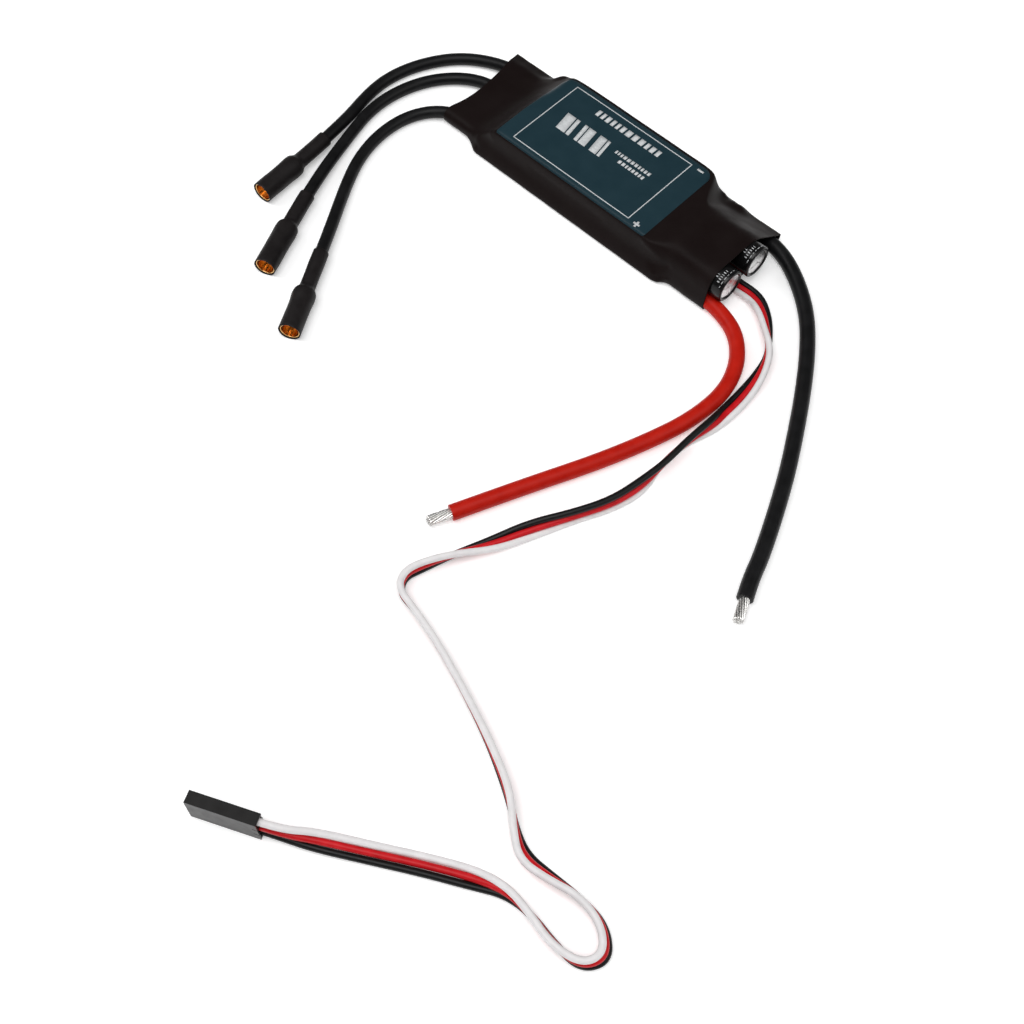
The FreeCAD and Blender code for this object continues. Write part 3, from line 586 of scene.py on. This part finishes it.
def sleeve_ring(place):
    """One ring of the sleeve's cage, in metres."""
    ring = []
    for index, (side, height) in enumerate(CROWN):
        if place > 0:
            share = ease(place, *TO_BATTERY[index])
            end_side, end_height = BATTERY_END[index]
        else:
            share = ramp(place, *TO_MOTOR[index])
            end_side, end_height = MOTOR_END[index]
        y = side + (end_side - side) * share
        z = height + (end_height - height) * share
        x = place
        if place < MOTOR_STRETCH:
            reach = (place - MOTOR_STRETCH) / (STATIONS[0] - MOTOR_STRETCH)
            x = MOTOR_STRETCH + (motor_mouth(y) - MOTOR_STRETCH) * reach
        ring.append(Vector((x, y, z)) * MM)
    return ring


def segment_distance(point, start, end):
    axis = end - start
    share = min(max((point - start).dot(axis) / axis.length_squared, 0.0), 1.0)
    return (point - start - axis * share).length


def crease_skin(piece):
    """Presses folds and a faint unevenness into the sleeve's skin."""
    folds = [(Vector(start) * MM, Vector(end) * MM, width * MM, height * MM)
             for start, end, width, height in FOLDS]
    normals = [vertex.normal.copy() for vertex in piece.data.vertices]
    for vertex, normal in zip(piece.data.vertices, normals):
        push = 0.0
        for start, end, width, height in folds:
            gap = segment_distance(vertex.co, start, end)
            push += height * math.exp(-(gap / width) ** 2)
        ends = ease(abs(vertex.co.x), 23 * MM, 30 * MM)
        waves = noise.noise(vertex.co * 170) + 0.5 * noise.noise(vertex.co * 420)
        push += waves * (0.03 + 0.07 * ends) * MM
        if vertex.co.z > 0.3 * MM:
            vertex.co += normal * push
        vertex.co.z = max(vertex.co.z, 0.0)


def make_sleeve():
    count = len(CROWN)
    points = [point for place in STATIONS for point in sleeve_ring(place)]
    piece = mesh_piece("shrunk_sleeve", points, ring_faces(len(STATIONS), count))
    tidy_mesh(piece)
    modifier(piece, "SUBSURF", levels=3, render_levels=3)
    apply_modifiers(piece)
    crease_skin(piece)
    shape = BVHTree.FromPolygons([vertex.co for vertex in piece.data.vertices],
                                 [polygon.vertices for polygon in piece.data.polygons])
    modifier(piece, "SOLIDIFY", thickness=SKIN, offset=-1.0)
    apply_modifiers(piece)
    dress(piece, "shrink_skin")
    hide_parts("heat_shrink_sleeve")
    return shape


# ---------------------------------------------------------------- label and its print

LABEL_FROM = Vector((-24.1, -12.95)) * MM
LABEL_TO = Vector((21.15, 11.95)) * MM
LABEL_CORNERS = [0.6 * MM, 0.6 * MM, 3.0 * MM, 3.2 * MM]   # radii, from the near motor corner
LABEL_LIFT = 0.09 * MM
PRINT_LIFT = 0.13 * MM
FILM = 0.05 * MM
INK = 0.03 * MM


def on_skin(x, y, lift):
    """The point on the sleeve's top at x and y, lifted off it."""
    hit, normal, _, _ = SKIN_SHAPE.ray_cast(Vector((x, y, 20 * MM)), Vector((0, 0, -1)))
    return hit + Vector((0, 0, lift))


def rounded_outline(low, high, radii, steps=8):
    """Corner points of a rectangle with rounded corners, anticlockwise from low."""
    outline = []
    corners = [(low.x, low.y, 180), (high.x, low.y, 270), (high.x, high.y, 0),
               (low.x, high.y, 90)]
    for (x, y, turn), radius in zip(corners, radii):
        inward = Vector((radius if x == low.x else -radius, radius if y == low.y else -radius))
        for step in range(steps + 1):
            angle = math.radians(turn + 90 * step / steps)
            outline.append(Vector((x, y)) + inward
                           + Vector((math.cos(angle), math.sin(angle))) * radius)
    return outline


def draped(name, outlines, lift, cell):
    """A thin film of flat shapes, cut into cells and laid on the sleeve's top."""
    work = bmesh.new()
    for outline in outlines:
        work.faces.new([work.verts.new((point.x, point.y, 0)) for point in outline])
    for axis, normal in (("x", (1, 0, 0)), ("y", (0, 1, 0))):
        places = [getattr(vertex.co, axis) for vertex in work.verts]
        place = math.floor(min(places) / cell) * cell + cell
        while place < max(places):
            bmesh.ops.bisect_plane(work, geom=work.verts[:] + work.edges[:] + work.faces[:],
                                   plane_co=Vector(normal) * place, plane_no=normal)
            place += cell
    for vertex in work.verts:
        vertex.co = on_skin(vertex.co.x, vertex.co.y, lift)
    bmesh.ops.recalc_face_normals(work, faces=work.faces)
    if sum(face.normal.z for face in work.faces) < 0:
        bmesh.ops.reverse_faces(work, faces=work.faces)
    data = bpy.data.meshes.new(name)
    work.to_mesh(data)
    work.free()
    for polygon in data.polygons:
        polygon.use_smooth = True
    piece = bpy.data.objects.new(name, data)
    bpy.context.scene.collection.objects.link(piece)
    return piece


def bar(x, y, length, height, slant=0.0):
    """A printed bar: slant is how far its top leans along X, all in millimetres."""
    corners = [(x, y), (x + length, y), (x + length + slant, y + height),
               (x + slant, y + height)]
    return [Vector(corner) * MM for corner in corners]


def print_border():
    low, high = (-19.95, -11.45), (15.5, 10.6)
    line = 0.24
    width, depth = high[0] - low[0], high[1] - low[1]
    return [bar(low[0], low[1], width, line), bar(low[0], high[1] - line, width, line),
            bar(low[0], low[1] + line, line, depth - 2 * line),
            bar(high[0] - line, low[1] + line, line, depth - 2 * line)]


def print_rating():
    """Bold slanted strokes in place of the rating: where each starts and how wide it is."""
    strokes = [(-14.9, 2.6), (-11.95, 1.0), (-9.4, 1.0), (-8.1, 2.1), (-4.7, 2.1), (-2.3, 0.8)]
    return [bar(start, -2.45, width, 5.3, -0.9) for start, width in strokes]


def print_rows():
    """Rows of short bars in place of the small print."""
    widths = random.Random(4)
    rows = [(-11.0, 9.3, 6.7, 1.9, 0.55, 0.8), (0.2, 10.6, 1.0, 1.0, 0.32, 0.45),
            (2.6, 10.6, -0.8, 1.0, 0.32, 0.45)]
    made = []
    for start, end, base, height, gap, least in rows:
        place = start
        while place < end - least:
            width = least * (1 + 0.9 * widths.random())
            width = min(width, end - place)
            made.append(bar(place, base, width, height))
            place += width + gap
    return made


def print_poles():
    plus = [bar(17.0, -11.62, 1.7, 0.52), bar(17.59, -12.2, 0.52, 0.58),
            bar(17.59, -11.1, 0.52, 0.58)]
    return plus + [bar(17.15, 10.1, 1.75, 0.55)]


def make_label():
    outline = rounded_outline(LABEL_FROM, LABEL_TO, LABEL_CORNERS)
    film = draped("label_film", [outline], LABEL_LIFT, 1.0 * MM)
    modifier(film, "SOLIDIFY", thickness=FILM, offset=-1.0)
    apply_modifiers(film)
    dress(film, "label_film")
    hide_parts("label")
    shapes = print_border() + print_rating() + print_rows() + print_poles()
    ink = draped("label_print", shapes, PRINT_LIFT, 2.0 * MM)
    modifier(ink, "SOLIDIFY", thickness=INK, offset=-1.0)
    apply_modifiers(ink)
    dress(ink, "label_film", "print_ink")


# ---------------------------------------------------------------- capacitors

VENT_ARMS = [90, 210, 330]        # directions of the can's scored vent lines, in degrees
VENT_DEPTH = 0.10 * MM
VENT_WIDTH = 0.11 * MM
VENT_REACH = 2.5 * MM
DOME = 0.12 * MM                  # how far the middle of the can's end stands out
DOME_RADIUS = 3 * MM


def vent_height(y, z):
    """How far the can's end stands out at a point: a slight dome less three scored lines."""
    depth = 0.0
    reach = math.hypot(y, z)
    for turn in VENT_ARMS:
        along = y * math.cos(math.radians(turn)) + z * math.sin(math.radians(turn))
        across = abs(-y * math.sin(math.radians(turn)) + z * math.cos(math.radians(turn)))
        if 0 < along < VENT_REACH:
            depth = max(depth, VENT_DEPTH * math.exp(-(across / VENT_WIDTH) ** 2))
    return DOME * (1 - (reach / DOME_RADIUS) ** 2) - depth


def can_end_disc():
    """Points and faces of the can's scored end, facing +X from the origin."""
    rings = 30
    points = []
    for ring in range(1, rings + 1):
        reach = CAN_EDGE * ring / rings
        for side in range(CAN_SIDES):
            angle = 2 * math.pi * side / CAN_SIDES
            y, z = reach * math.cos(angle), reach * math.sin(angle)
            points.append(Vector((vent_height(y, z), y, z)))
    points.append(Vector((vent_height(0, 0), 0, 0)))
    faces = ring_faces(rings, CAN_SIDES)
    centre = len(points) - 1
    faces += [(centre, (side + 1) % CAN_SIDES, side) for side in range(CAN_SIDES)]
    return points, faces


def make_can(number, place):
    """The can: its scored end and its side wall, with the wall's inner face."""
    outer, inner = CAN_RADIUS - 0.02 * MM, CAN_RADIUS - 0.3 * MM
    wall = [(0, CAN_EDGE), (-0.06 * MM, CAN_EDGE + 0.16 * MM), (-0.3 * MM, outer),
            (-CAN_LENGTH, outer), (-CAN_LENGTH, inner), (-0.45 * MM, inner),
            (-0.25 * MM, CAN_EDGE)]
    points = [circle(Vector((along, 0, 0)), Vector((0, 1, 0)), Vector((0, 0, 1)), radius,
                     2 * math.pi * side / CAN_SIDES)
              for along, radius in wall for side in range(CAN_SIDES)]
    piece = joined("capacitor_body_%d" % number,
                   [can_end_disc(), (points, ring_faces(len(wall), CAN_SIDES))])
    piece.data.transform(place)
    tidy_mesh(piece)
    dress(piece, "can_aluminium")
    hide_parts("capacitor_can_%d" % number)


def make_can_jacket(number, place):
    """The printed jacket, shrunk over the can's shoulder in a small rounded lip."""
    out = CAN_RADIUS + 0.10 * MM
    lip = 0.30 * MM
    profile = [(lip * 0.55, CAN_RADIUS - 0.72 * MM), (lip * 0.9, CAN_RADIUS - 0.62 * MM),
               (lip, CAN_RADIUS - 0.42 * MM), (lip * 0.92, CAN_RADIUS - 0.16 * MM),
               (lip * 0.5, CAN_RADIUS + 0.03 * MM), (0, out), (-0.8 * MM, out),
               (-CAN_LENGTH * 0.6, out), (-CAN_LENGTH, out), (-CAN_LENGTH, CAN_RADIUS),
               (-0.3 * MM, CAN_RADIUS), (0.02 * MM, CAN_RADIUS - 0.3 * MM),
               (0.06 * MM, CAN_RADIUS - 0.6 * MM), (0.08 * MM, CAN_RADIUS - 0.74 * MM)]
    piece = turned("capacitor_jacket_%d" % number, profile, place, wobble=0.03 * MM)
    dress(piece, "can_print")
    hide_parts("capacitor_sleeve_%d" % number)


# Rows of marks round a can's jacket: first and last turn and least width in degrees, then how
# far back from the can's end they start and how long they are.
CAN_MARKS = [(32, 118, 8, 0.5 * MM, 0.12 * MM), (44, 96, 2.6, 1.15 * MM, 0.6 * MM),
             (56, 74, 3, 2.15 * MM, 0.5 * MM)]
MARK_GAP = 6.5                    # degrees between two marks


def make_can_print(number, place):
    """Small marks round the jacket in place of its lettering."""
    radius = CAN_RADIUS + 0.125 * MM
    marks = random.Random(number)
    steps = 4
    faces = [(2 * step, 2 * step + 1, 2 * step + 3, 2 * step + 2) for step in range(steps)]
    parts = []
    for turn, last, least, back, length in CAN_MARKS:
        while turn < last:
            width = least * (0.6 + 0.9 * marks.random())
            points = []
            for step in range(steps + 1):
                angle = math.radians(turn + width * step / steps)
                for along in (-back, -back - length):
                    points.append(Vector((along, -radius * math.cos(angle),
                                          radius * math.sin(angle))))
            parts.append((points, faces))
            turn += width + MARK_GAP
    piece = joined("capacitor_print_%d" % number, parts)
    piece.data.transform(place)
    modifier(piece, "SOLIDIFY", thickness=INK, offset=0.0)
    apply_modifiers(piece)
    dress(piece, "can_print", "print_ink")


def make_capacitors():
    for number, row in CAN_ROWS.items():
        place = Matrix.Translation((CAN_END, row, CAN_HEIGHT))
        turned_place = place @ Matrix.Rotation(math.radians(25 + 40 * number), 4, "X")
        make_can(number, turned_place)
        make_can_jacket(number, place)
        make_can_print(number, place)


# ---------------------------------------------------------------- motor connectors

JOINT_LUMPS = 0.07 * MM           # height of the lumps in a connector's heat shrink


def make_bullet_socket(phase):
    """Gold-plated female bullet: rolled rim, bore with a step, solder end."""
    outer, bore = SOCKET_RADIUS, SOCKET_BORE
    step_bore = bore - 0.12 * MM
    rim = (outer - bore) / 2
    middle = bore + rim
    profile = [(rim * (1 - math.sin(angle)), middle + rim * math.cos(angle))
               for angle in [math.pi * step / 10 for step in range(11)]]
    profile += [(3.0 * MM, bore), (3.2 * MM, step_bore), (4.4 * MM, step_bore),
                (4.6 * MM, bore), (SOCKET_DEPTH, bore), (SOCKET_DEPTH, 0.0),
                (SOCKET_LENGTH, 0.0), (SOCKET_LENGTH, outer)]
    profile = [(SOCKET_INSET + along, radius) for along, radius in profile]
    piece = turned("bullet_barrel_" + phase, profile, mouth_frame(phase))
    dress(piece, "gold_plate")
    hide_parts("bullet_socket_" + phase)
    return piece


def make_joint_shrink(phase):
    """Heat shrink over the connector: its barrel is straight and its tail follows the wire."""
    mouth = mouth_frame(phase)
    line = cord_line(CORDS["motor_" + phase])
    gap = 0.02 * MM
    inner_wide = SOCKET_RADIUS + gap
    wide = SOCKET_RADIUS + JOINT_SKIN
    grip = MOTOR_DIAMETER / 2 + gap
    thin = MOTOR_DIAMETER / 2 + 0.36 * MM
    shoulder = 1.5 * MM
    barrel, length, bulge = JOINT_BARRELS[phase]
    outside, inside = [], []
    steps = 60
    for step in range(steps + 1):
        along = length * step / steps
        share = ease(along, barrel - 0.3 * MM, barrel + shoulder)
        inner_share = ease(along, barrel + 0.1 * MM, barrel + shoulder - 0.1 * MM)
        swell = bulge * math.exp(-((along - barrel + 1.6 * MM) / (1.3 * MM)) ** 2)
        straight = mouth @ Vector((along, 0, 0))
        if along < SOCKET_BACK:
            centre = straight
        else:
            centre = straight.lerp(from_end(line, along - SOCKET_BACK), min(share * 1.5, 1.0))
        outside.append((centre, wide + (thin - wide) * share + swell, along))
        inside.append((centre, inner_wide + (grip - inner_wide) * inner_share, along))
    rings = ([(outside[0][0], wide - 0.12 * MM, 0.0)]
             + [(centre, radius, along + 0.05 * MM) for centre, radius, along in outside]
             + [(outside[-1][0], thin - 0.1 * MM, length)]
             + list(reversed(inside)))
    sides = 64
    points = []
    last = len(outside) - 1
    for index, (centre, radius, along) in enumerate(rings):
        number = min(int(round(along / length * last)), last)
        heading = (outside[min(number + 1, last)][0] - outside[max(number - 1, 0)][0]).normalized()
        side_axis = heading.cross(Vector((0, 0, 1))).normalized()
        up_axis = side_axis.cross(heading)
        lumps = JOINT_LUMPS if index <= last + 2 else 0.0     # the outer face's rings come first
        for side in range(sides):
            angle = 2 * math.pi * side / sides
            lump = noise.noise(Vector((along * 260, math.cos(angle) * 1.6,
                                       math.sin(angle) * 1.6 + ord(phase))))
            points.append(circle(centre, side_axis, up_axis, radius + lump * lumps, angle))
    piece = mesh_piece("connector_shrink_" + phase, points, closed_faces(len(rings), sides))
    tidy_mesh(piece)
    dress(piece, "connector_shrink")
    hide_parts("connector_sleeve_" + phase)
    return piece


def declare_motor_cords():
    for phase in PHASES:
        pieces = [make_bullet_socket(phase), make_joint_shrink(phase)]


# ---------------------------------------------------------------- battery leads' tips

STRAND_ROOT = 0.6 * MM            # how far the strands start inside the insulation
# Layers of strands: how many, how far from the middle and how thick each strand is (radius).
STRAND_LAYS = [(12, 0.90 * MM, 0.24 * MM), (7, 0.48 * MM, 0.24 * MM), (1, 0.0, 0.3 * MM)]


def make_strands(pole):
    """Twisted, tinned strands at the stripped end of a battery lead."""
    line = cord_line(CORDS["battery_" + pole])
    end = line[-1]
    heading = (line[-1] - from_end(line, 1.5 * MM)).normalized()
    side_axis = heading.cross(Vector((0, 0, 1))).normalized()
    up_axis = side_axis.cross(heading)
    rolls = random.Random(len(pole))
    parts = []
    for lay, (count, reach, radius) in enumerate(STRAND_LAYS):
        for strand in range(count):
            start_turn = 2 * math.pi * strand / count
            length = STRAND_TIP - (0.05 + 0.5 * rolls.random()) * MM
            flare = 1.0 + 0.10 * rolls.random()
            points = []
            steps = 14
            for step in range(steps + 1):
                share = step / steps
                along = -STRAND_ROOT + (length + STRAND_ROOT) * share
                turn = start_turn + 1.5 * share + 0.25 * lay
                out = reach * (1 + (flare - 1) * share ** 2)
                points.append(circle(end + heading * along, side_axis, up_axis, out, turn))
            parts.append(tube(points, radius, taper=0.7))
    piece = joined("stripped_strands_" + pole, parts)
    tidy_mesh(piece)
    dress(piece, "tinned_strands")
    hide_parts("battery_tip_" + pole)
    return piece


def declare_battery_cords():
    for pole in POLES:
        strands = make_strands(pole)


# ---------------------------------------------------------------- servo plug

def block(name, low, high):
    """A plain block between two corners, as a piece of its own."""
    corners = [(x, y, z) for x in (low[0], high[0]) for y in (low[1], high[1])
               for z in (low[2], high[2])]
    faces = [(0, 1, 3, 2), (4, 6, 7, 5), (0, 4, 5, 1), (2, 3, 7, 6), (0, 2, 6, 4), (1, 5, 7, 3)]
    return mesh_piece(name, [Vector(corner) * MM for corner in corners], faces, smooth=False)


def make_plug():
    """Three-cell plug on its narrow edge: cells, pin mouths, latches, grooves and soft edges."""
    length, half, height = PLUG_LENGTH / MM, PLUG_THICK / MM / 2, PLUG_HEIGHT / MM
    body = block("servo_plug", (0, -half, 0), (length, half, height))
    tools = []
    for side in COLOURS.values():
        middle = cell_height(side) / MM
        tools += [((1.2, -0.9, middle - 0.9), (length + 1, 0.9, middle + 0.9)),
                  ((-1, -0.45, middle - 0.45), (1.5, 0.45, middle + 0.45)),
                  ((4.6, half - 0.42, middle - 0.4), (7.2, half + 1, middle + 0.4)),
                  ((8.4, half - 0.16, middle - 0.75), (length + 1, half + 1, middle + 0.75))]
    for edge in (cell_height(-0.5) / MM, cell_height(0.5) / MM):
        tools.append(((length - 1.1, -half - 1, edge - 0.12), (length + 1, half + 1, edge + 0.12)))
    cutters = []
    for number, (low, high) in enumerate(tools):
        cutter = block("plug_cutter_%d" % number, low, high)
        modifier(body, "BOOLEAN", operation="DIFFERENCE", object=cutter, solver="EXACT")
        cutters.append(cutter)
    apply_modifiers(body)
    for cutter in cutters:
        bpy.data.objects.remove(cutter)
    tidy_mesh(body)
    modifier(body, "BEVEL", width=0.11 * MM, segments=3, limit_method="ANGLE",
             angle_limit=math.radians(40), use_clamp_overlap=True)
    apply_modifiers(body)
    body.data.transform(plug_frame())
    dress(body, "plug_moulding")
    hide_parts("servo_plug_housing")
    return body


def declare_servo_cords():
    plug = make_plug()


# ---------------------------------------------------------------- floor and light

def make_floor():
    side = 3.0
    floor = mesh_piece("studio_floor", [Vector((-side, -side, 0)), Vector((side, -side, 0)),
                                        Vector((side, side, 0)), Vector((-side, side, 0))],
                       [(0, 1, 2, 3)])
    floor.data.materials.append(MATERIALS["floor"])


def softbox(name, azimuth, elevation, distance, size, power, aim=Vector((0.02, -0.05, 0))):
    data = bpy.data.lights.new(name, "AREA")
    data.shape = "RECTANGLE"
    data.size, data.size_y = size
    data.energy = power
    turn, rise = math.radians(azimuth), math.radians(elevation)
    away = Vector((math.sin(turn) * math.cos(rise), -math.cos(turn) * math.cos(rise),
                   math.sin(rise)))
    lamp = bpy.data.objects.new(name, data)
    lamp.location = aim + away * distance
    lamp.rotation_euler = (-away).to_track_quat("-Z", "Y").to_euler()
    bpy.context.scene.collection.objects.link(lamp)


def make_light():
    world = bpy.data.worlds.new("studio")
    world.use_nodes = True
    backdrop = world.node_tree.nodes["Background"]
    backdrop.inputs["Color"].default_value = (1.0, 1.0, 1.0, 1.0)
    backdrop.inputs["Strength"].default_value = 0.10
    bpy.context.scene.world = world
    bpy.context.scene.view_settings.view_transform = "Standard"
    softbox("overhead_softbox", 20, 74, 1.2, (0.8, 0.8), 9.0)
    softbox("left_softbox", -65, 50, 1.3, (0.7, 0.7), 5.0)
    softbox("right_softbox", 115, 45, 1.3, (0.7, 0.7), 3.5)


make_camera()
CORDS = make_cords()
MATERIALS = make_materials()
dress_cad_nodes()
dress_cords()
SKIN_SHAPE = make_sleeve()
make_label()
make_capacitors()
declare_battery_cords()
declare_motor_cords()
declare_servo_cords()
make_floor()
make_light()

bpy.context.view_layer.update()
